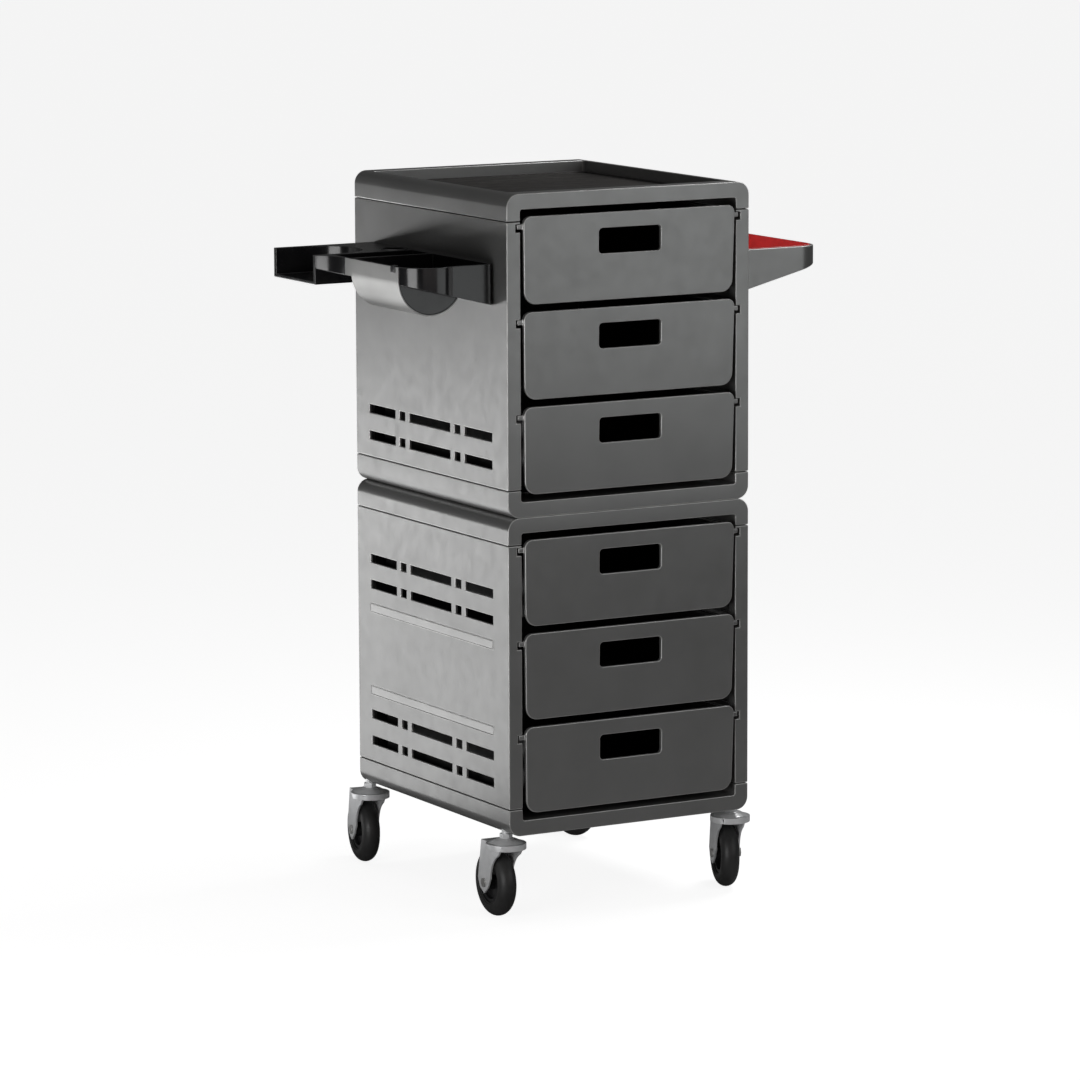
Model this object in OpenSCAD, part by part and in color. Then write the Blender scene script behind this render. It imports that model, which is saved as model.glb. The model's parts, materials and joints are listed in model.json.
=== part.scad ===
// Salon trolley: two stacked three-drawer modules on four swivel castors, with a tool
// holder hooked on the left side, a lined tray hooked on the right and a recessed top.
// X runs to the right, Y to the back, Z up from the floor; the drawers open towards -Y.

/* [Cabinet] */
// width of the cabinet
cab_w = 320; // [280:1:360]
// depth of the cabinet
cab_d = 371; // [320:1:420]
// height of one module, cap to cap
module_h = 369; // [330:1:400]
// height of the caps that close each module
cap_h = 31; // [26:1:38]
// thickness of the side walls and of their front stiles
wall = 17.5; // [15:0.5:22]
// thickness of the top and bottom plates
plate_t = 18; // [16:0.5:24]
// outer corner radius of the caps
corner_r = 15; // [8:1:18]
// outer skin of the side panels
skin = 3.5; // [2.5:0.5:5]
// height of the cabinet's underside above the floor
ground_gap = 102; // [95:1:120]

/* [Top tray] */
// rim width at the sides
rim_side = 16; // [10:1:30]
// rim width at the front
rim_front = 23; // [10:1:30]
// rim width at the back
rim_back = 18; // [10:1:30]
// depth of the recess in the top cap
recess_h = 15.5; // [8:0.5:16]

/* [Drawers] */
// vertical spacing of the drawers
drawer_pitch = 108.5; // [100:0.5:115]
// height of a drawer front
front_h = 100.5; // [90:0.5:105]
// width of a drawer front at its top edge
front_w = 279; // [250:1:300]
// narrowing of the front at its bottom edge, each side
front_taper = 2; // [0:0.5:4]
// distance of the drawer front's back face behind the cabinet's front edge
front_t = 3.5; // [2.5:0.5:5]
// how far the top edge stands proud of the cabinet
front_proud = 2.8; // [0:0.1:5]
// backward lean of the front, degrees
front_lean = 1.4; // [0:0.1:3]
// width of the hand hole
grip_w = 82; // [70:1:100]
// height of the hand hole
grip_h = 29; // [22:1:34]
// drop of the hand hole's upper edge below the front's top edge
grip_drop = 18; // [14:1:24]
// outer depth of the drawer tub
tub_d = 345; // [300:1:355]
// wall thickness of the drawer tub
tub_t = 2.5; // [2:0.5:4]

/* [Vents] */
// height of a vent slot
slot_h = 10; // [6:0.5:14]
// setback of the slot rows from the front edge
slot_margin = 37; // [25:1:50]
// gap between neighbouring slots
slot_gap = 10; // [6:0.5:14]

/* [Side holder and tray] */
// height of the holder and tray rims above the floor
rim_z = 759.5; // [700:0.5:800]
// depth of both accessories where they meet the cabinet
root_h = 48; // [40:1:60]
// rise of their undersides per unit of reach
under_slope = 0.25; // [0.1:0.01:0.4]
// reach of the holder's front bay
bay_reach = 112; // [90:1:130]
// reach of the holder's dryer channel
channel_reach = 131; // [110:1:150]
// outer radius of the hanging trough
trough_r = 42; // [30:1:45]
// reach of the right-hand tray
tray_reach = 108; // [80:1:130]

/* [Castors] */
// wheel radius
wheel_r = 40; // [30:0.5:50]
// half the tyre's width, also its tread radius
tread_r = 11; // [9:0.5:14]
// trail of the wheel behind the stem
trail = 27; // [20:0.5:35]
// distance of the stems from the cabinet's sides
stem_side = 9; // [8:0.5:20]
// distance of the front stems from the front
stem_front = 25; // [10:1:40]
// distance of the rear stems from the back
stem_rear = 9; // [8:0.5:40]
// directions in which the front-left, front-right, back-left and back-right wheels trail
trail_dir = [87, 72, 80, 100];

/* [Hidden] */
$fn = 48;

grey = [0.40, 0.40, 0.40];
dark_grey = [0.34, 0.33, 0.33];
silver = [0.70, 0.70, 0.69];
black = [0.05, 0.05, 0.055];
red = [0.75, 0.06, 0.07];
chrome = [0.82, 0.83, 0.84];
rubber = [0.09, 0.09, 0.09];
steel = [0.6, 0.6, 0.6];
mat = [0.16, 0.14, 0.13];

eps = 0.01;
fit = 0.1;
lower_z = ground_gap;
upper_z = ground_gap + module_h;
top_z = ground_gap + 2 * module_h;

// the middle of the overall box sits on the Z axis
back_reach = cab_d - stem_rear + tread_r
  + (trail + wheel_r - tread_r) * max(sin(trail_dir[2]), sin(trail_dir[3]));
mid_x = (cab_w + tray_reach - channel_reach) / 2;
mid_y = (back_reach - front_proud) / 2;

// drawers, counted k = 0 at the bottom of each module
first_front = 25.7;
shelf_drop = 8.8;
runner_h = 5.8;
skid_h = 3;
groove_h = 9;
groove_x = 11.6;
runner_x = 13.8;
tub_w = 272;
tub_h = 82;
grip_z = front_h - grip_drop - grip_h;
grip_room = 2;
tab_y = 0.8;
tab_hold = 2;
runner_z = front_h - shelf_drop - runner_h;
function front_z(k) = first_front + k * drawer_pitch;
function groove_z(k) = front_z(k) + front_h - shelf_drop + 0.2 - groove_h;

// slot rows: long, square, centre, square, long
slot_rows = [52.5, 84.2, 242, 273];
slot_sq = 14.3;
slot_mid = 100.5;
slot_long = (cab_d - 2 * slot_margin + 4 - 2 * slot_sq - slot_mid - 4 * slot_gap) / 2;
slot_len = [slot_long, slot_sq, slot_mid, slot_sq, slot_long];
function slot_y(i) = i == 0 ? slot_margin : slot_y(i - 1) + slot_len[i - 1] + slot_gap;
strip_rows = [113.5, 213.5];
strip_h = 10;
strip_raise = 0.6;

dowel_r = 3;
dowel_l = 16;
dowel_x = 7.5;
dowel_y = [8, cab_d - 9.5];
bolt_x = [60, cab_w - 60];
bolt_y = [60, cab_d - 60];
bolt_r = 3;
bolt_head_r = 6;
boss_r = 11;
pocket_inset = [30, 34];
pocket_grid = [4, 4];
pocket_rib = 4;
rebate_w = 6;
rebate_d = 5;
back_t = 3;
screw_r = 1.7;
screw_head_r = 2.9;

// tool holder plan, X negative to the left of the cabinet
hw = 3.5;
bay_front = 27;
bulge_r = 37;
bulge_c = [-bay_reach + bulge_r, 58];
root_r = 12;
bay_back = 168;
neck_y = 181;
channel_y = [218, 324];
channel_wall = 6;
channel_h = 34;
channel_r = (channel_y[1] - channel_y[0]) / 2 - channel_wall;
channel_c = [-95, (channel_y[0] + channel_y[1]) / 2];
neck_step = channel_reach - bay_reach;
neck_run = channel_y[0] - neck_y;
neck_r = (neck_step * neck_step + neck_run * neck_run) / (2 * neck_step);
tool_hole_r = 13;
tool_hole = [-18, 238];
ring_raise = 0.8;
ring_w = 3.5;
trough_c = [-bay_reach + trough_r, rim_z - 15.5];
trough_y = [50, 165];
strip_back = 180;
sleeve_t = 1.4;
sleeve_gap = 0.2;

tray_front = 12;
tray_back = 318;
tray_r = 28;

// castors
plate_z = ground_gap - 11;
axle_head_r = 5.5;
axle_nut_r = 6;
ring_r = 23.5;
fork_t = 2.5;
fork_gap = 2 * tread_r + 3;
stem_r = 5;
axle_r = 3.5;
run = 0.05;
nut_h = 5.5;
stem_at = [[stem_side, stem_front], [cab_w - stem_side, stem_front],
  [stem_side, cab_d - stem_rear], [cab_w - stem_side, cab_d - stem_rear]];

module in_frame() {
  translate([-mid_x, -mid_y, 0]) children();
}

// rounded rectangle from corner [0, 0]
module rrect(w, h, r) {
  translate([r, 0]) square([w - 2 * r, h]);
  translate([0, r]) square([w, h - 2 * r]);
  for (x = [r, w - r], y = [r, h - r]) translate([x, y]) circle(r);
}

// a shape drawn in X and Z, running back along Y from y0 for a length l
module along_y(y0, l) {
  translate([0, y0 + l, 0]) rotate([90, 0, 0]) linear_extrude(l) children();
}

// ---- cabinet ----

module cap_profile() {
  difference() {
    union() {
      square([cab_w, cap_h - corner_r]);
      translate([corner_r, 0]) square([cab_w - 2 * corner_r, cap_h]);
      for (x = [corner_r, cab_w - corner_r]) translate([x, cap_h - corner_r]) circle(corner_r);
    }
    translate([wall, -corner_r])
      rrect(cab_w - 2 * wall, cap_h - plate_t + corner_r, 3);
  }
}

// seat for the back panel, open to the back
module back_rebate() {
  translate([wall - rebate_w, cab_d - rebate_d, 0])
    cube([cab_w - 2 * wall + 2 * rebate_w, rebate_d + 1, cap_h - plate_t + rebate_w]);
}

// cap with its plate on top and its legs pointing down, bottom of the legs at z = 0
module cap() {
  difference() {
    along_y(0, cab_d) cap_profile();
    translate([0, 0, -eps]) back_rebate();
    for (x = [dowel_x, cab_w - dowel_x], y = dowel_y)
      translate([x, y, -eps]) cylinder(r = dowel_r + run, h = dowel_l / 2 + eps);
  }
}

// moulded pockets in a plate that spans z = 0 to plate_t, open at z = 0
module plate_pockets() {
  cell_w = (cab_w - 2 * pocket_inset[0] + pocket_rib) / pocket_grid[0];
  cell_d = (cab_d - 2 * pocket_inset[1] + pocket_rib) / pocket_grid[1];
  difference() {
    for (i = [0 : pocket_grid[0] - 1], j = [0 : pocket_grid[1] - 1])
      translate([pocket_inset[0] + i * cell_w, pocket_inset[1] + j * cell_d, -1])
        cube([cell_w - pocket_rib, cell_d - pocket_rib, plate_t - skin + 1]);
    for (x = bolt_x, y = bolt_y) translate([x, y, -2]) cylinder(r = boss_r, h = plate_t + 2);
  }
}

module bolt_holes() {
  for (x = bolt_x, y = bolt_y) translate([x, y, cap_h - plate_t - 1]) {
    cylinder(r = bolt_r + 0.2, h = plate_t + 2);
    cylinder(r = bolt_head_r + 1, h = 6);
  }
}

module recess(inset, r, h) {
  translate([rim_side + inset, rim_front + inset, 0])
    linear_extrude(h)
      rrect(cab_w - 2 * rim_side - 2 * inset, cab_d - rim_front - rim_back - 2 * inset, r);
}

module top_cap() {
  difference() {
    translate([0, 0, top_z - cap_h]) cap();
    translate([0, 0, top_z - recess_h]) recess(0, 4, recess_h + 1);
  }
}

module stacked_cap() {
  difference() {
    cap();
    bolt_holes();
    translate([0, 0, cap_h]) mirror([0, 0, 1]) plate_pockets();
  }
}

module base_cap() {
  difference() {
    translate([0, 0, lower_z + cap_h]) mirror([0, 0, 1]) cap();
    for (p = stem_at) translate([p[0], p[1], lower_z - 1]) cylinder(r = stem_r + run, h = 15);
    translate([0, 0, lower_z]) plate_pockets();
  }
}

module vent_rows() {
  for (z = slot_rows, i = [0 : 4])
    translate([-1, slot_y(i), z]) cube([skin + 2, slot_len[i], slot_h]);
}

// left-hand panel of a module that stands on z = 0
module panel(strips) {
  panel_h = module_h - 2 * cap_h;
  pocket_low = [cap_h + 3, groove_z(0) + groove_h + 3, groove_z(1) + groove_h + 3];
  difference() {
    union() {
      translate([0, 0, cap_h]) cube([wall, cab_d, panel_h]);
      if (strips) for (z = strip_rows)
        translate([-strip_raise, slot_margin, z])
          cube([strip_raise + 1, cab_d - 2 * slot_margin + 4, strip_h]);
    }
    for (k = [0 : 2]) {
      translate([groove_x, -1, groove_z(k)]) cube([wall, cab_d - 13, groove_h]);
      translate([skin, 14, pocket_low[k]])
        cube([wall, cab_d - 28, groove_z(k) - 3 - pocket_low[k]]);
    }
    vent_rows();
    translate([wall - rebate_w, cab_d - rebate_d, 0]) cube([wall, rebate_d + 1, module_h]);
    for (y = dowel_y, z = [cap_h - eps, module_h - cap_h - dowel_l / 2])
      translate([dowel_x, y, z]) cylinder(r = dowel_r + run, h = dowel_l / 2 + eps);
    back_screw_places() cylinder(r = screw_r + run, h = 9);
  }
}

module right_side() {
  translate([cab_w, 0, 0]) mirror([1, 0, 0]) children();
}

module back_panel() {
  low = plate_t - rebate_w + fit;
  side = wall - rebate_w + fit;
  difference() {
    along_y(cab_d - rebate_d, back_t)
      translate([side, low]) square([cab_w - 2 * side, module_h - 2 * low]);
    back_screw_places() cylinder(r = screw_r + run, h = 12, center = true);
  }
}

module back_screw_places() {
  for (x = [wall - 3, cab_w - wall + 3], z = [60, module_h / 2, module_h - 60])
    translate([x, cab_d - 3.5, z]) rotate([90, 0, 0]) children();
}

module upper_top_cap() color(grey) in_frame() top_cap();

module upper_bottom_cap() color(grey) in_frame()
  translate([0, 0, upper_z + cap_h]) mirror([0, 0, 1]) stacked_cap();

module lower_top_cap() color(grey) in_frame()
  translate([0, 0, upper_z - cap_h]) stacked_cap();

module lower_bottom_cap() color(grey) in_frame() base_cap();

module upper_left_panel() color(grey) in_frame() translate([0, 0, upper_z]) panel(false);

module upper_right_panel() color(grey) in_frame()
  translate([0, 0, upper_z]) right_side() panel(false);

module lower_left_panel() color(grey) in_frame() translate([0, 0, lower_z]) panel(true);

module lower_right_panel() color(grey) in_frame()
  translate([0, 0, lower_z]) right_side() panel(true);

module upper_back_panel() color(dark_grey) in_frame() translate([0, 0, upper_z]) back_panel();

module lower_back_panel() color(dark_grey) in_frame() translate([0, 0, lower_z]) back_panel();

module cap_dowels() color(steel) in_frame()
  for (base = [lower_z, upper_z], x = [dowel_x, cab_w - dowel_x], y = dowel_y,
      z = [cap_h, module_h - cap_h])
    translate([x, y, base + z - dowel_l / 2 + 0.5]) cylinder(r = dowel_r, h = dowel_l - 1);

module joining_bolts() color(steel) in_frame()
  for (x = bolt_x, y = bolt_y) translate([x, y, upper_z]) {
    translate([0, 0, -plate_t]) cylinder(r = bolt_r, h = 2 * plate_t - 5);
    translate([0, 0, plate_t - 5]) cylinder(r = bolt_head_r, h = 3.5);
  }

module joining_nuts() color(steel) in_frame()
  for (x = bolt_x, y = bolt_y) translate([x, y, upper_z - plate_t + 0.5])
    difference() {
      cylinder(r = bolt_head_r, h = 4.5, $fn = 6);
      translate([0, 0, -1]) cylinder(r = bolt_r + 0.02, h = 7);
    }

module back_screws() color(steel) in_frame()
  for (base = [lower_z, upper_z]) translate([0, 0, base]) back_screw_places() {
    translate([0, 0, -2]) cylinder(r = screw_r, h = 10);
    translate([0, 0, -3.3]) cylinder(r = screw_head_r, h = 1.8);
  }

// loose tray liner of the recess: thin plate with a raised border
module top_insert() color(mat) in_frame() difference() {
  translate([0, 0, top_z - recess_h]) recess(0.6, 14, 2.8);
  translate([0, 0, top_z - recess_h + 1.4]) recess(5, 11, 3);
}

// ---- drawers ----

// corner points of an arc
function arc(c, r, a0, a1, n = 7) =
  [for (i = [0 : n]) c + r * [cos(a0 + (a1 - a0) * i / n), sin(a0 + (a1 - a0) * i / n)]];

// front outline, centred on X, bottom edge at 0
module front_outline() {
  top = front_w / 2;
  low = top - front_taper;
  side_at = function (z) low + front_taper * z / front_h;
  r_top = 9;
  r_low = 15;
  polygon(concat(
    arc([side_at(front_h - r_top) - r_top, front_h - r_top], r_top, 0, 90),
    arc([r_top - side_at(front_h - r_top), front_h - r_top], r_top, 90, 180),
    arc([r_low - side_at(r_low), r_low], r_low, 180, 270),
    arc([side_at(r_low) - r_low, r_low], r_low, 270, 360)));
}

// one runner-side shape on the left and its mirror image on the right
module both_sides() {
  for (s = [0, 1]) translate([s * cab_w, 0, 0]) mirror([s, 0, 0]) children();
}

// wedge with an upright back and a leaning face; a tab at each side covers the runner's end
module drawer_front() {
  both_sides() translate([runner_x, tab_y, runner_z])
    cube([(cab_w - front_w) / 2 + tab_hold - runner_x, front_t - tab_y, runner_h]);
  translate([cab_w / 2, 0, 0]) difference() {
    along_y(-front_proud - 2, front_proud + 2 + front_t) difference() {
      front_outline();
      translate([-grip_w / 2, grip_z]) rrect(grip_w, grip_h, 4.5);
    }
    translate([-cab_w / 2, -front_proud, front_h]) rotate([front_lean, 0, 0])
      translate([0, -20, -front_h - 10]) cube([cab_w, 20, front_h + 20]);
  }
}

// tub with runner flanges; its hand hole lines up with the front's
module drawer_tub() {
  x0 = (cab_w - tub_w) / 2;
  y0 = front_t;
  z0 = front_h - shelf_drop - tub_h;
  difference() {
    union() {
      translate([x0, y0, z0]) linear_extrude(tub_h) rrect(tub_w, tub_d, 6);
      both_sides() {
        translate([runner_x, y0, runner_z]) cube([x0 - runner_x + 4, tub_d - 6, runner_h]);
        translate([runner_x + 0.5, 18, runner_z - skid_h]) cube([2.5, tub_d - 24, skid_h + eps]);
      }
    }
    translate([x0 + tub_t, y0 + tub_t, z0 + tub_t])
      linear_extrude(tub_h) rrect(tub_w - 2 * tub_t, tub_d - 2 * tub_t, 4);
    translate([(cab_w - grip_w) / 2 - grip_room, 0, grip_z - grip_room])
      cube([grip_w + 2 * grip_room, y0 + tub_t + 4, grip_h + 2 * grip_room]);
  }
}

// drawers are numbered 1 to 6 from the top down
module at_drawer(n) {
  base = n <= 3 ? upper_z : lower_z;
  translate([0, 0, base + front_z(n <= 3 ? 3 - n : 6 - n)]) children();
}

module drawer_1_front() color(grey) in_frame() at_drawer(1) drawer_front();
module drawer_1_tub() color(dark_grey) in_frame() at_drawer(1) drawer_tub();
module drawer_2_front() color(grey) in_frame() at_drawer(2) drawer_front();
module drawer_2_tub() color(dark_grey) in_frame() at_drawer(2) drawer_tub();
module drawer_3_front() color(grey) in_frame() at_drawer(3) drawer_front();
module drawer_3_tub() color(dark_grey) in_frame() at_drawer(3) drawer_tub();
module drawer_4_front() color(grey) in_frame() at_drawer(4) drawer_front();
module drawer_4_tub() color(dark_grey) in_frame() at_drawer(4) drawer_tub();
module drawer_5_front() color(grey) in_frame() at_drawer(5) drawer_front();
module drawer_5_tub() color(dark_grey) in_frame() at_drawer(5) drawer_tub();
module drawer_6_front() color(grey) in_frame() at_drawer(6) drawer_front();
module drawer_6_tub() color(dark_grey) in_frame() at_drawer(6) drawer_tub();

// ---- side holder and tray ----

// height of the sloping underside at x, measured from the cabinet's side
function under_z(x) = rim_z - root_h + abs(x) * under_slope;

// everything above the sloping underside, lifted by t
module above_slope(t) {
  along_y(0, cab_d)
    polygon([[0, under_z(0) + t], [-150, under_z(150) + t], [-150, rim_z + 5], [0, rim_z + 5]]);
}

// plan of the front bay, inset by i
module bay_plan(i) {
  translate(bulge_c) circle(bulge_r - i);
  translate([-bay_reach + i, bulge_c[1]]) square([bay_reach - i - max(i, 0), neck_y - bulge_c[1]]);
  translate([bulge_c[0], bay_front + i]) square([-bulge_c[0] - root_r, 60]);
  translate([-root_r, bay_front + root_r]) circle(root_r - i);
  translate([-root_r - 1, bay_front + root_r]) square([root_r + 1 - i, 60]);
}

module neck_plan() {
  difference() {
    translate([-channel_reach, neck_y - eps]) square([channel_reach, neck_run + 2 * eps]);
    translate([-bay_reach - neck_r, neck_y]) circle(neck_r);
  }
}

// row of hooks that drop behind the panel's skin through the slots of that row
module hooks(row, side_y) {
  for (y = side_y) translate([0, y, upper_z + slot_rows[row]]) {
    translate([-0.5, 0, 2.5]) cube([skin + 3, 18, 6]);
    translate([skin + 0.3, 0, -4]) cube([2.2, 18, 12.5]);
  }
}

module tool_holder() color(black) in_frame() {
  difference() {
    union() {
      intersection() {
        translate([0, 0, rim_z - 60]) linear_extrude(60) {
          bay_plan(0);
          neck_plan();
        }
        above_slope(0);
      }
      // dryer channel block
      translate([-channel_reach, channel_y[0], rim_z - channel_h])
        cube([channel_reach, channel_y[1] - channel_y[0], channel_h]);
      // half-round pan under the bay
      along_y(trough_y[0] + 0.5, trough_y[1] - trough_y[0] - 1)
        translate(trough_c) intersection() {
          circle(trough_r - sleeve_t - sleeve_gap - 0.1);
          translate([-60, -60]) square([120, 60]);
        }
      // raised ring of the tool hole
      translate([tool_hole[0], tool_hole[1], rim_z - 1])
        cylinder(r = tool_hole_r + ring_w, h = 1 + ring_raise);
    }
    // bay cavity above a sloping floor
    intersection() {
      translate([0, 0, rim_z - 60]) linear_extrude(70) intersection() {
        bay_plan(hw);
        translate([-140, 0]) square([136, bay_back]);
      }
      above_slope(hw);
    }
    // pan cavity
    along_y(trough_y[0] + 3, trough_y[1] - trough_y[0] - 6)
      translate(trough_c) circle(trough_r - sleeve_t - 2.7);
    // seat of the bright sleeve on the outer wall and on the bay's lower edge
    along_y(trough_y[0], strip_back - trough_y[0])
      translate([-bay_reach - 1, trough_c[1] - 0.5]) square([1 + sleeve_t + sleeve_gap, 60]);
    along_y(trough_y[0], trough_y[1] - trough_y[0]) translate(trough_c) difference() {
      translate([-trough_r - 1, -14]) square([12, 14]);
      circle(trough_r - sleeve_t - sleeve_gap);
    }
    along_y(trough_y[1] - 1, strip_back - trough_y[1] + 1)
      translate([-bay_reach - 1, trough_c[1] - 20]) square([1 + sleeve_t + sleeve_gap, 25]);
    // rear pocket of the bay
    intersection() {
      translate([0, 0, rim_z - 60]) linear_extrude(70) difference() {
        translate([-bay_reach + hw, bay_back + hw])
          square([bay_reach - hw - 4, channel_y[0] - bay_back - hw - 1]);
        translate([-bay_reach - neck_r, neck_y]) circle(neck_r + hw);
      }
      above_slope(hw);
    }
    // dryer channel, open to the left and at the top, round at its inner end
    translate([0, 0, rim_z - channel_h + hw]) linear_extrude(channel_h) {
      translate(channel_c) circle(channel_r);
      translate([-channel_reach - 1, channel_c[1] - channel_r])
        square([channel_reach + 1 + channel_c[0], 2 * channel_r]);
    }
    // tool hole
    translate([tool_hole[0], tool_hole[1], rim_z - root_h - 10])
      cylinder(r = tool_hole_r, h = root_h + 20);
  }
  hooks(2, [60, 197]);
  hooks(3, [60, 197, 290]);
}

// circle of the trough and the upright strip above its left half, inset by i
module sleeve_plan(i) {
  translate(trough_c) circle(trough_r - i);
  translate([-bay_reach + i, trough_c[1]]) square([trough_r - i, 50]);
}

// bright half-round sleeve round the pan, carried up the outer wall and back along it
module holder_trough() color(silver) in_frame() {
  sleeve_top = rim_z - 0.3;
  strip_low = under_z(bay_reach);
  along_y(trough_y[0], trough_y[1] - trough_y[0]) difference() {
    sleeve_plan(0);
    sleeve_plan(sleeve_t);
    polygon([[-150, sleeve_top], [trough_c[0], sleeve_top],
      [trough_c[0], under_z(trough_c[0]) - 0.2], [0, under_z(0) - 0.2],
      [0, rim_z + 60], [-150, rim_z + 60]]);
  }
  translate([-bay_reach, trough_y[1] - 1, strip_low])
    cube([sleeve_t, strip_back - trough_y[1] + 1, sleeve_top - strip_low]);
}

module trough_clip() color(black) in_frame()
  translate([-bay_reach - 1.2, 58, rim_z - 7]) difference() {
    cube([1.2 + hw + 1, 9, 8.2]);
    translate([1.2, -1, -1]) cube([hw, 11, 8]);
  }

// plan of the right-hand tray from the cabinet's side outward, inset by i
module tray_plan(i) {
  translate([i, tray_front + i]) square([tray_reach - tray_r - i, tray_back - tray_front - 2 * i]);
  translate([i, tray_front + tray_r])
    square([tray_reach - 2 * i, tray_back - tray_front - 2 * tray_r]);
  for (y = [tray_front + tray_r, tray_back - tray_r])
    translate([tray_reach - tray_r, y]) circle(tray_r - i);
}

module tray_solid(i, lift, top) {
  intersection() {
    translate([0, 0, rim_z - 60]) linear_extrude(60 + top) tray_plan(i);
    mirror([1, 0, 0]) above_slope(lift);
  }
}

module side_tray() color(grey) in_frame() translate([cab_w, 0, 0]) {
  difference() {
    tray_solid(0, 0, 0);
    tray_solid(hw, hw, 5);
  }
  mirror([1, 0, 0]) for (row = [2, 3]) hooks(row, [60, 197, 290]);
}

module tray_liner() color(red) in_frame() translate([cab_w, 0, 0])
  difference() {
    tray_solid(hw + 0.4, hw + 0.2, 0.8);
    tray_solid(hw + 2.2, hw + 2.2, 5);
  }

// ---- castors ----

module at_stem(i) {
  translate([stem_at[i][0], stem_at[i][1], 0]) rotate([0, 0, trail_dir[i]]) children();
}

// cylinder across the fork, centred
module across(r, l) {
  rotate([90, 0, 0]) cylinder(r = r, h = l, center = true);
}

module castor_stems() color(chrome) in_frame() for (i = [0 : 3]) at_stem(i) {
  translate([0, 0, plate_z - 5.5]) cylinder(r = stem_r, h = ground_gap + 12 - plate_z + 5.5);
  translate([0, 0, plate_z - 6]) cylinder(r = 8.5, h = 2.5);
}

module castor_nuts() color(chrome) in_frame() for (i = [0 : 3]) at_stem(i)
  translate([0, 0, ground_gap - nut_h]) difference() {
    cylinder(r = 7.6, h = nut_h, $fn = 6);
    translate([0, 0, -1]) cylinder(r = stem_r + 0.02, h = 10);
  }

module castor_races() color(chrome) in_frame() for (i = [0 : 3]) at_stem(i)
  difference() {
    union() {
      translate([0, 0, plate_z + 0.4]) cylinder(r1 = 20, r2 = 13, h = 3.6);
      translate([0, 0, plate_z + 3.9]) cylinder(r1 = 12, r2 = 9, h = ground_gap - nut_h - plate_z - 3.9);
    }
    cylinder(r = stem_r + 0.02, h = ground_gap);
  }

// side view of a fork leg, X along the trail, Y the height above the floor
module leg_outline() {
  difference() {
    polygon([[-ring_r + 4, plate_z - 1], [35, plate_z - 1], [trail + 17, wheel_r + 4],
      [trail + 12, wheel_r - 7], [trail + 1, wheel_r - 13], [trail - 9, wheel_r - 4], [2, 65]]);
    translate([-22, 46]) circle(34, $fn = 64);
  }
}

module fork() {
  difference() {
    union() {
      translate([0, 0, plate_z - 3]) cylinder(r = ring_r, h = 3);
      translate([0, 0, plate_z - 7]) cylinder(r = ring_r, h = 4.5);
      translate([0, -fork_gap / 2 - fork_t, plate_z - 3]) cube([35, fork_gap + 2 * fork_t, 2]);
      for (s = [-1, 1]) translate([0, s * (fork_gap + fork_t) / 2, 0])
        along_y(-fork_t / 2, fork_t) leg_outline();
    }
    translate([0, 0, plate_z - 8]) cylinder(r = ring_r - 2.5, h = 5);
    translate([0, -fork_gap / 2, plate_z - 8]) cube([40, fork_gap, 5]);
    translate([0, 0, plate_z - 10]) cylinder(r = stem_r + run, h = 12);
    translate([trail, 0, wheel_r]) across(axle_r + 0.02, 60);
  }
}

module axle() {
  half = fork_gap / 2 + fork_t;
  translate([trail, 0, wheel_r]) {
    across(axle_r, 2 * half + 3);
    translate([0, half + 1, 0]) across(axle_head_r, 2);
    translate([0, -half - 2, 0]) rotate([90, 0, 0])
      cylinder(r = axle_nut_r, h = 4, center = true, $fn = 6);
  }
}

module hub() {
  translate([trail, 0, wheel_r]) rotate([90, 0, 0]) rotate_extrude() {
    translate([axle_r + run, -tread_r - 1]) square([5, 2 * tread_r + 2]);
    translate([8, -3]) square([14, 6]);
    translate([20, -8]) square([4, 16]);
  }
}

module tyre() {
  translate([trail, 0, wheel_r]) rotate([90, 0, 0]) rotate_extrude($fn = 96) {
    translate([24, -tread_r + 1.5]) square([6, 2 * tread_r - 3]);
    translate([wheel_r - tread_r, 0]) intersection() {
      circle(tread_r);
      translate([-3, -20]) square([40, 40]);
    }
  }
}

module castor_fl_fork() color(chrome) in_frame() at_stem(0) fork();
module castor_fl_axle() color(chrome) in_frame() at_stem(0) axle();
module castor_fl_hub() color(rubber) in_frame() at_stem(0) hub();
module castor_fl_tyre() color(rubber) in_frame() at_stem(0) tyre();
module castor_fr_fork() color(chrome) in_frame() at_stem(1) fork();
module castor_fr_axle() color(chrome) in_frame() at_stem(1) axle();
module castor_fr_hub() color(rubber) in_frame() at_stem(1) hub();
module castor_fr_tyre() color(rubber) in_frame() at_stem(1) tyre();
module castor_bl_fork() color(chrome) in_frame() at_stem(2) fork();
module castor_bl_axle() color(chrome) in_frame() at_stem(2) axle();
module castor_bl_hub() color(rubber) in_frame() at_stem(2) hub();
module castor_bl_tyre() color(rubber) in_frame() at_stem(2) tyre();
module castor_br_fork() color(chrome) in_frame() at_stem(3) fork();
module castor_br_axle() color(chrome) in_frame() at_stem(3) axle();
module castor_br_hub() color(rubber) in_frame() at_stem(3) hub();
module castor_br_tyre() color(rubber) in_frame() at_stem(3) tyre();

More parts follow.
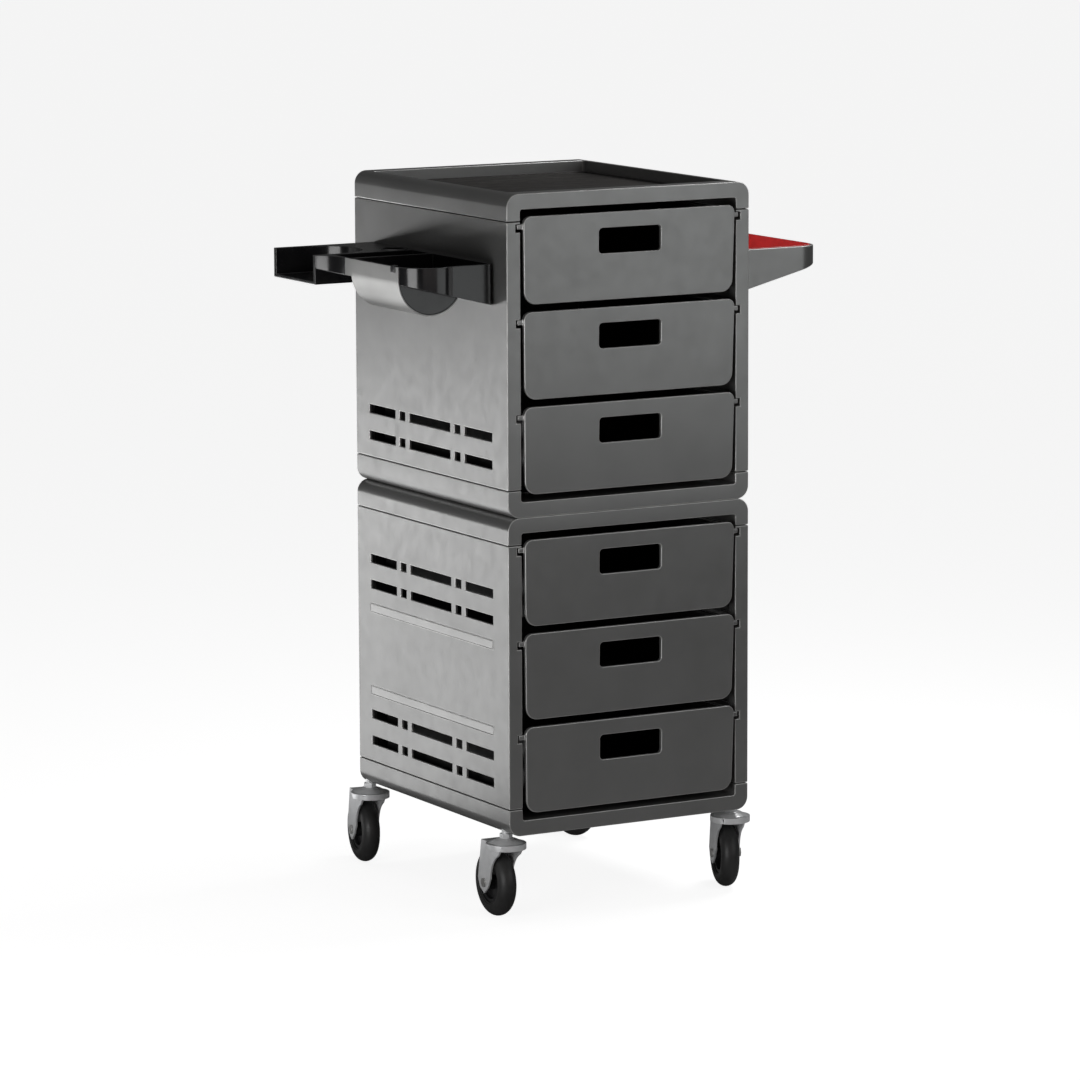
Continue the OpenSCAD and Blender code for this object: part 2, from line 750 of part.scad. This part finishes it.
upper_top_cap();
upper_left_panel();
upper_right_panel();
upper_back_panel();
upper_bottom_cap();
lower_top_cap();
lower_left_panel();
lower_right_panel();
lower_back_panel();
lower_bottom_cap();
cap_dowels();
joining_bolts();
joining_nuts();
back_screws();
top_insert();
tool_holder();
holder_trough();
trough_clip();
side_tray();
tray_liner();
drawer_1_front();
drawer_1_tub();
drawer_2_front();
drawer_2_tub();
drawer_3_front();
drawer_3_tub();
drawer_4_front();
drawer_4_tub();
drawer_5_front();
drawer_5_tub();
drawer_6_front();
drawer_6_tub();
castor_stems();
castor_nuts();
castor_races();
castor_fl_fork();
castor_fl_axle();
castor_fl_hub();
castor_fl_tyre();
castor_fr_fork();
castor_fr_axle();
castor_fr_hub();
castor_fr_tyre();
castor_bl_fork();
castor_bl_axle();
castor_bl_hub();
castor_bl_tyre();
castor_br_fork();
castor_br_axle();
castor_br_hub();
castor_br_tyre();
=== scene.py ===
import json
import math

import bmesh
import bpy
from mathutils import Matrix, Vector


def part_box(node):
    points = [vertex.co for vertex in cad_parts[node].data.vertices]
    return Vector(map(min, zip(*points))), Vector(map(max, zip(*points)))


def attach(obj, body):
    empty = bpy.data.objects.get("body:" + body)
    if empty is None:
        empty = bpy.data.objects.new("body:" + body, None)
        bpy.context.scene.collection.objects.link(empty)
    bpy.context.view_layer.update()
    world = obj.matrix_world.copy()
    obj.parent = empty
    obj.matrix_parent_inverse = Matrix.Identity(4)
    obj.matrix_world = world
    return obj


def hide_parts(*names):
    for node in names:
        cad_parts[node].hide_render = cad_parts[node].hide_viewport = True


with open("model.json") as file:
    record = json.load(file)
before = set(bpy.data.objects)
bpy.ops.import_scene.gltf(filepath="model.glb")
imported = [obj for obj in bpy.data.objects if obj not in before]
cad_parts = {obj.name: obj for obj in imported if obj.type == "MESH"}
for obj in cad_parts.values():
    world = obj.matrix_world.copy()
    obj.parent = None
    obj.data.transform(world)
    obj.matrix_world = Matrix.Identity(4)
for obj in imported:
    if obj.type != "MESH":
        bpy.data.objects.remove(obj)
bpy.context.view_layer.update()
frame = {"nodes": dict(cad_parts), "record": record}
record = frame["record"]
SLOT_OF = {row["node"]: row["material_slot"] for row in record["subparts"]}
BODY_OF = {
    node: body
    for body, members in record["behaviour"]["bodies"].items()
    for node in members
}
MM = 0.001
WHITE = (1, 1, 1)


# ---- camera, at the photograph's viewing angle ----

# fitted to the cabinet's edges in the photograph: angles in degrees, lengths in metres
AZIMUTH = -29.43
ELEVATION = 8.93
ROLL = -0.23
DISTANCE = 6.188
CABINET_LOW = Vector(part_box("lower_bottom_cap")[0])
AIM = CABINET_LOW + Vector((0.146, 0.1855, 0.3084))
# focal length and sensor width in millimetres
LENS = 174.8
SENSOR = 36
CLIP_END = 100


def make_camera():
    """A camera that looks at AIM from the photograph's viewing angle."""
    data = bpy.data.cameras.new("camera")
    data.lens = LENS
    data.sensor_width = SENSOR
    data.clip_end = CLIP_END
    camera = bpy.data.objects.new("camera", data)
    bpy.context.scene.collection.objects.link(camera)
    az, el = math.radians(AZIMUTH), math.radians(ELEVATION)
    away = Vector((math.sin(az) * math.cos(el), -math.cos(az) * math.cos(el), math.sin(el)))
    camera.location = AIM + away * DISTANCE
    camera.rotation_euler = (-away).to_track_quat("-Z", "Y").to_euler()
    camera.rotation_euler.rotate_axis("Z", math.radians(ROLL))
    bpy.context.scene.camera = camera


# ---- materials ----

# the range that most of a noise's output falls in
NOISE_LOW, NOISE_HIGH = 0.3, 0.7
GLOSS_SCALE = 60
BUMP_DEPTH = 0.2 * MM
COAT_ROUGHNESS = 0.12
# pointiness from a flat face to a sharp edge, and how much of the edges' painted highlight colour
# shows there
EDGE_HIGHLIGHT_START, EDGE_HIGHLIGHT_FULL, EDGE_HIGHLIGHT_SHARE = 0.505, 0.58, 0.8


def nodes_of(name):
    """A new material, its node tree and its shader."""
    material = bpy.data.materials.new(name)
    material.use_nodes = True
    tree = material.node_tree
    return material, tree, tree.nodes["Principled BSDF"]


def noise(tree, scale, detail, stretch=(1, 1, 1)):
    """Noise in the part's own coordinates, drawn out along an axis by stretch."""
    place = tree.nodes.new("ShaderNodeTexCoord")
    mapping = tree.nodes.new("ShaderNodeMapping")
    mapping.inputs["Scale"].default_value = stretch
    tree.links.new(place.outputs["Object"], mapping.inputs["Vector"])
    node = tree.nodes.new("ShaderNodeTexNoise")
    node.inputs["Scale"].default_value = scale
    node.inputs["Detail"].default_value = detail
    tree.links.new(mapping.outputs["Vector"], node.inputs["Vector"])
    return node.outputs["Fac"]


def remap(tree, value, low, high, to_low, to_high):
    """A socket's value, moved from the range low to high into the range to_low to to_high."""
    node = tree.nodes.new("ShaderNodeMapRange")
    for name, number in zip(
        ("From Min", "From Max", "To Min", "To Max"), (low, high, to_low, to_high)
    ):
        node.inputs[name].default_value = number
    tree.links.new(value, node.inputs["Value"])
    return node.outputs["Result"]


def mix(tree, factor, a, b):
    """Colour a where factor is 0, b where it is 1; each is a colour or a socket."""
    node = tree.nodes.new("ShaderNodeMix")
    node.data_type = "RGBA"
    tree.links.new(factor, node.inputs["Factor"])
    # by number, because a mix node has one A, B and Result for each data type
    colour_a, colour_b, result = node.inputs[6], node.inputs[7], node.outputs[2]
    for socket, colour in ((colour_a, a), (colour_b, b)):
        if isinstance(colour, bpy.types.NodeSocket):
            tree.links.new(colour, socket)
        else:
            socket.default_value = (*colour, 1)
    return result


def surface(
    name,
    dark,
    light,
    metallic,
    rough,
    cloud=14,
    grain=1800,
    height=0.05,
    stretch=(1, 1, 1),
    edge_highlight=None,
    coat=0.0,
):
    """A moulded or painted surface: cloudy colour, uneven gloss, fine grain and, where asked,
    sharp edges painted lighter as a highlight.

    dark, light and the sharp edges' painted highlight are colours. rough is the range of
    roughness. cloud and grain are the scales of the colour's noise and of the bump's, and height
    is the bump's strength.
    """
    material, tree, shader = nodes_of(name)
    clouds = remap(tree, noise(tree, cloud, 4), NOISE_LOW, NOISE_HIGH, 0, 1)
    colour = mix(tree, clouds, dark, light)
    # sharp edges, by their pointiness, are mixed towards a lighter colour: a painted highlight
    if edge_highlight:
        geometry = tree.nodes.new("ShaderNodeNewGeometry")
        pointed = geometry.outputs["Pointiness"]
        edge = remap(tree, pointed, EDGE_HIGHLIGHT_START, EDGE_HIGHLIGHT_FULL, 0, EDGE_HIGHLIGHT_SHARE)
        colour = mix(tree, edge, colour, edge_highlight)
    tree.links.new(colour, shader.inputs["Base Color"])
    shader.inputs["Metallic"].default_value = metallic
    shader.inputs["Coat Weight"].default_value = coat
    shader.inputs["Coat Roughness"].default_value = COAT_ROUGHNESS
    uneven = noise(tree, GLOSS_SCALE, 4, stretch)
    gloss = remap(tree, uneven, NOISE_LOW, NOISE_HIGH, rough[0], rough[1])
    tree.links.new(gloss, shader.inputs["Roughness"])
    bump = tree.nodes.new("ShaderNodeBump")
    bump.inputs["Strength"].default_value = height
    bump.inputs["Distance"].default_value = BUMP_DEPTH
    tree.links.new(noise(tree, grain, 1, stretch), bump.inputs["Height"])
    tree.links.new(bump.outputs["Normal"], shader.inputs["Normal"])
    return material


# Each roughness range stays on one side of about 0.274: a range that crossed it gave dark specks.
MATERIALS = {
    "body_metallic": surface(
        "satin_metallic_grey", (0.24, 0.24, 0.238), (0.265, 0.265, 0.263), 0.6, (0.29, 0.36),
        grain=900, height=0.10,
    ),
    "back_plastic": surface(
        "matt_dark_grey", (0.058, 0.058, 0.059), (0.066, 0.066, 0.066), 0, (0.5, 0.58),
        cloud=30, grain=1500, height=0.3,
    ),
    # the charcoal plastic's sharp edges are painted lighter, as a highlight
    "tub_plastic": surface(
        "charcoal_plastic", (0.022, 0.021, 0.021), (0.03, 0.029, 0.029), 0, (0.42, 0.55),
        grain=1400, height=0.2, edge_highlight=(0.06, 0.06, 0.06),
    ),
    "insert_mat": surface(
        "brown_black_mat", (0.014, 0.012, 0.011), (0.022, 0.019, 0.017), 0, (0.4, 0.55),
        grain=900, height=0.35,
    ),
    "black_gloss": surface(
        "gloss_black", (0.008, 0.008, 0.009), (0.014, 0.014, 0.015), 0, (0.14, 0.24),
        grain=160, height=0.02, coat=0.3,
    ),
    "silver_trim": surface(
        "satin_silver", (0.30, 0.30, 0.295), (0.36, 0.36, 0.355), 0.8, (0.38, 0.48),
        grain=300, height=0.06, stretch=(1, 0.05, 1),
    ),
    "red_liner": surface(
        "gloss_red", (0.88, 0.12, 0.12), (0.94, 0.15, 0.15), 0, (0.12, 0.22),
        grain=600, height=0.05, coat=0.4,
    ),
    "castor_chrome": surface(
        "bright_zinc", (0.82, 0.83, 0.84), (0.92, 0.93, 0.94), 0.35, (0.29, 0.36),
        cloud=90, grain=400, height=0.05,
    ),
    "fastener_steel": surface(
        "zinc_plate", (0.50, 0.50, 0.49), (0.62, 0.62, 0.60), 0.8, (0.29, 0.40),
        cloud=150, grain=1500, height=0.15,
    ),
    "tyre_rubber": surface(
        "black_rubber", (0.022, 0.022, 0.022), (0.034, 0.034, 0.034), 0, (0.38, 0.55),
        cloud=60, grain=2600, height=0.25,
    ),
    "hub_plastic": surface(
        "black_hub", (0.012, 0.012, 0.013), (0.022, 0.022, 0.023), 0, (0.3, 0.42),
        cloud=60, grain=1500, height=0.2,
    ),
}

# rounded edges, painted lighter than the flat faces as the highlight they catch, by the slot of
# the piece they are on
EDGE_HIGHLIGHT_MATERIALS = {
    "body_metallic": surface(
        "satin_metallic_painted_highlight_edge", (0.46, 0.46, 0.455), (0.60, 0.60, 0.59), 0.6, (0.29, 0.34),
        cloud=40, grain=900, height=0.10,
    ),
    "black_gloss": surface(
        "gloss_black_painted_highlight_edge", (0.03, 0.03, 0.031), (0.07, 0.07, 0.072), 0, (0.10, 0.18),
        cloud=40, grain=160, height=0.02, coat=0.3,
    ),
}

# faces of the raised strips on the lower side panels, whose slot is body_metallic; their lighter
# grey is a painted highlight
STRIP_HIGHLIGHT_MATERIAL = surface(
    "satin_metallic_painted_highlight_strip", (0.31, 0.31, 0.307), (0.34, 0.34, 0.337), 0.6, (0.29, 0.34),
    grain=900, height=0.10,
)


# ---- pieces built over the CAD nodes ----


# a face's material index: its slot's own material, a rounded edge's painted highlight or a raised
# strip's painted highlight
EDGE_HIGHLIGHT_INDEX, STRIP_HIGHLIGHT_INDEX = 1, 2


def mesh_piece(name, bm, body, slot):
    """Makes an object of the mesh, with its slot's materials, that rides on the body."""
    mesh = bpy.data.meshes.new(name)
    bm.to_mesh(mesh)
    bm.free()
    mesh.materials.append(MATERIALS[slot])
    # the slot's lighter edge material paints a highlight on the rounded edges
    if slot in EDGE_HIGHLIGHT_MATERIALS:
        mesh.materials.append(EDGE_HIGHLIGHT_MATERIALS[slot])
    # the lighter strip material paints a highlight on the raised strips
    if slot == "body_metallic":
        mesh.materials.append(STRIP_HIGHLIGHT_MATERIAL)
    piece = bpy.data.objects.new(name, mesh)
    bpy.context.scene.collection.objects.link(piece)
    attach(piece, body)
    return piece


SEAM = 0.9 * MM
# how near a vertex has to be to a panel's box, at its two sides, its front and its ends
NEAR_SIDE, NEAR_FRONT, NEAR_END = 1.0 * MM, 0.5 * MM, 0.05 * MM
# how near a face's middle has to be to the outermost plane to belong to a raised strip
NEAR_STRIP = 0.1 * MM


def open_seam(bm, box):
    """Draws the rim of a side panel's two ends in, so that a thin seam shows at the caps.

    The rim is the ends' vertices at either side of the box or at its front.
    """
    low, high = box
    for v in bm.verts:
        farther_side = max(abs(v.co.x - low[0]), abs(v.co.x - high[0]))
        at_side = farther_side > high[0] - low[0] - NEAR_SIDE
        at_front = v.co.y < low[1] + NEAR_FRONT
        if not (at_side or at_front):
            continue
        if v.co.z < low[2] + NEAR_END:
            v.co.z += SEAM
        elif v.co.z > high[2] - NEAR_END:
            v.co.z -= SEAM


def mark_strips(bm, box):
    """Gives the raised strips' faces, the outermost ones of a lower panel, a lighter grey that
    paints their highlight.
    """
    low, high = box
    outer = low[0] if high[0] < 0 else high[0]
    for face in bm.faces:
        if abs(face.calc_center_median().x - outer) < NEAR_STRIP:
            face.material_index = STRIP_HIGHLIGHT_INDEX


def extent(bm):
    """The lowest and the highest corner of a mesh."""
    return [[pick(v.co[axis] for v in bm.verts) for axis in range(3)] for pick in (min, max)]


def kept_within(bm, low, high):
    """Brings a bevel's corners that stick out of a thin lip back to the node's own extent."""
    for v in bm.verts:
        for axis in range(3):
            v.co[axis] = min(max(v.co[axis], low[axis]), high[axis])


# vertices nearer than WELD are joined, and faces that meet flatter than FLAT; edges sharper
# than SHARP are rounded
WELD = 0.02 * MM
FLAT = math.radians(0.5)
SHARP = math.radians(20)


def softened(node, width):
    """Puts the node's own shape in its place, with clean flat faces and rounded sharp edges."""
    bm = bmesh.new()
    bm.from_mesh(frame["nodes"][node].data)
    low, high = extent(bm)
    bmesh.ops.remove_doubles(bm, verts=bm.verts, dist=WELD)
    bmesh.ops.dissolve_limit(bm, angle_limit=FLAT, verts=bm.verts, edges=bm.edges)
    if node.endswith(("left_panel", "right_panel")):
        open_seam(bm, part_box(node))
    sharp = [e for e in bm.edges if e.is_manifold and e.calc_face_angle() > SHARP]
    # clamp_overlap would shrink the bevel everywhere to the tightest spot's
    rounded = bmesh.ops.bevel(
        bm, geom=sharp, offset=width, offset_type="OFFSET", segments=2,
        profile=0.5, affect="EDGES", clamp_overlap=False, miter_outer="SHARP",
    )
    kept_within(bm, low, high)
    # the bevel's rounded faces get the lighter edge material, a painted highlight
    if SLOT_OF[node] in EDGE_HIGHLIGHT_MATERIALS:
        for face in rounded["faces"]:
            face.material_index = EDGE_HIGHLIGHT_INDEX
    # the raised strips get the lighter strip material, a painted highlight
    if node in ("lower_left_panel", "lower_right_panel"):
        mark_strips(bm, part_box(node))
    for face in bm.faces:
        face.smooth = True
    piece = mesh_piece(node + "_shell", bm, BODY_OF[node], SLOT_OF[node])
    for edge in piece.data.edges:
        edge.use_edge_sharp = False
    modifier = piece.modifiers.new("normals", "WEIGHTED_NORMAL")
    modifier.keep_sharp = False
    modifier.weight = 100
    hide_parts(node)


# the rounding's width, in millimetres, by slot
EDGE = {
    "body_metallic": 1.0,
    "back_plastic": 0.5,
    "tub_plastic": 0.6,
    "insert_mat": 0.4,
    "black_gloss": 0.6,
    "silver_trim": 0.2,
    "red_liner": 0.4,
    "castor_chrome": 0.4,
    "fastener_steel": 0.3,
    "tyre_rubber": 0.4,
    "hub_plastic": 0.4,
}


def dress_nodes():
    """Gives every CAD node its material and lays a softened piece over it."""
    for node in frame["nodes"]:
        slot = SLOT_OF[node]
        frame["nodes"][node].data.materials.clear()
        frame["nodes"][node].data.materials.append(MATERIALS[slot])
        softened(node, EDGE[slot] * MM)


# ---- floor, world and lights ----

FLOOR_HALF_WIDTH = 60
FLOOR_GREY = 0.5
FLOOR_ROUGHNESS = 0.9
# how bright the floor's glow and the world are to the camera, to match about at the horizon
FLOOR_SEEN = 0.88
WORLD_SEEN = 0.91
# how bright the world is to every other ray
WORLD_LIGHT = 0.05
COOL = (0.97, 1, 1)
WARM = (1, 0.92, 0.90)


def seen_or_not(tree, otherwise, seen):
    """A socket that is seen for the camera's own rays and otherwise for every other ray."""
    path = tree.nodes.new("ShaderNodeLightPath")
    return remap(tree, path.outputs["Is Camera Ray"], 0, 1, otherwise, seen)


def make_floor():
    """A pale floor, with a glow that only the camera sees."""
    bm = bmesh.new()
    bmesh.ops.create_grid(bm, x_segments=8, y_segments=8, size=FLOOR_HALF_WIDTH)
    mesh = bpy.data.meshes.new("floor")
    bm.to_mesh(mesh)
    bm.free()
    material, tree, shader = nodes_of("pale_floor")
    shader.inputs["Base Color"].default_value = (FLOOR_GREY, FLOOR_GREY, FLOOR_GREY, 1)
    shader.inputs["Roughness"].default_value = FLOOR_ROUGHNESS
    shader.inputs["Emission Color"].default_value = (*WHITE, 1)
    tree.links.new(seen_or_not(tree, 0, FLOOR_SEEN), shader.inputs["Emission Strength"])
    mesh.materials.append(material)
    floor = bpy.data.objects.new("floor", mesh)
    bpy.context.scene.collection.objects.link(floor)


def make_world():
    """A faint even light, which the camera sees about as bright as the floor."""
    world = bpy.data.worlds.new("world")
    world.use_nodes = True
    bpy.context.scene.world = world
    tree = world.node_tree
    back = tree.nodes["Background"]
    back.inputs["Color"].default_value = (*WHITE, 1)
    tree.links.new(seen_or_not(tree, WORLD_LIGHT, WORLD_SEEN), back.inputs["Strength"])


def softbox(name, place, target, width, height, radiance, colour=WHITE):
    """A rectangular lamp at place, facing target; radiance is its own brightness."""
    data = bpy.data.lights.new(name, "AREA")
    data.shape = "RECTANGLE"
    data.size = width
    data.size_y = height
    data.energy = radiance * math.pi * width * height
    data.color = colour
    lamp = bpy.data.objects.new(name, data)
    bpy.context.scene.collection.objects.link(lamp)
    lamp.location = place
    lamp.rotation_euler = (Vector(target) - Vector(place)).to_track_quat("-Z", "Y").to_euler()
    lamp.visible_camera = False


def make_lights():
    """Two glows on the floor that the left side mirrors, two lamps in front, three others."""
    up = Vector((0, 0, 1))
    near, far = Vector((-0.93, 1.28, 0.01)), Vector((-1.85, 3.25, 0.01))
    softbox("floor_glow_near", near, near + up, 1.3, 1.95, 1.9)
    softbox("floor_glow_far", far, far + up, 2.2, 1.8, 4.2)
    softbox("front_right", (0.66, -1.35, 0.80), (0.0, -0.2, 0.8), 0.9, 0.9, 1.0, COOL)
    softbox("front_wide", (-0.6, -4.0, 1.5), (0, 0, 0.5), 4.0, 2.6, 0.38, WARM)
    softbox("overhead", (-0.3, 0.3, 2.4), (0, 0, 0.8), 1.2, 1.2, 0.6)
    softbox("tray_top", (0.75, 0.0, 1.5), (0.22, 0, 0.75), 0.6, 0.6, 5.5)
    softbox("castor_fill", (-1.9, -0.75, 0.35), (-0.1, 0, 0.05), 1.1, 0.7, 4.5)


bpy.context.scene.view_settings.view_transform = "Standard"
make_camera()
dress_nodes()
make_floor()
make_world()
make_lights()
